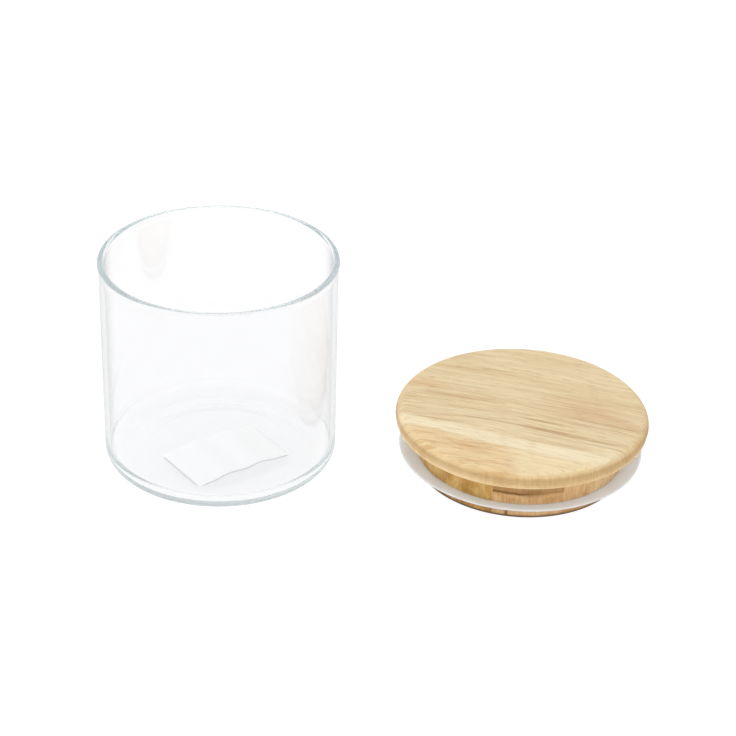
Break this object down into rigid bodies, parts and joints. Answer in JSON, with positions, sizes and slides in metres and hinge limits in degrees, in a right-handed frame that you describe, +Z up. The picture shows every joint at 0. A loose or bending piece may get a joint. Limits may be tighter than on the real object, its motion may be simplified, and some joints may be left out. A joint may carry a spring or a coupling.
{
  "type": "glass storage jar with wooden lid",
  "caption": "Clear straight-sided glass jar standing open, a slip of paper on its floor, with its turned wooden lid and silicone lip seal lying beside it.",
  "frame": {"origin": "middle of the footprint of jar and lid together, on the surface they stand on", "axes": "+X from the jar to the lid lying beside it, +Y to the back, +Z up"},
  "size_m": [0.1996, 0.0926, 0.08],
  "materials": {
    "clear_glass": "clear borosilicate glass, fire-polished rim",
    "white_paper": "smooth white paper",
    "disc_wood": "pale sanded hardwood, satin",
    "silicone": "translucent milky silicone",
    "stave_wood_golden": "golden sanded hardwood",
    "stave_wood_brown": "brown sanded hardwood",
    "stave_wood_tan": "tan sanded hardwood"
  },
  "bodies": {
    "root": {"glass_jar": "clear_glass", "paper_slip": "white_paper", "lid_disc": "disc_wood", "seal_ring": "silicone", "plug_stave_1": "stave_wood_golden", "plug_stave_2": "stave_wood_brown", "plug_stave_3": "stave_wood_tan"}
  },
  "joints": []
}
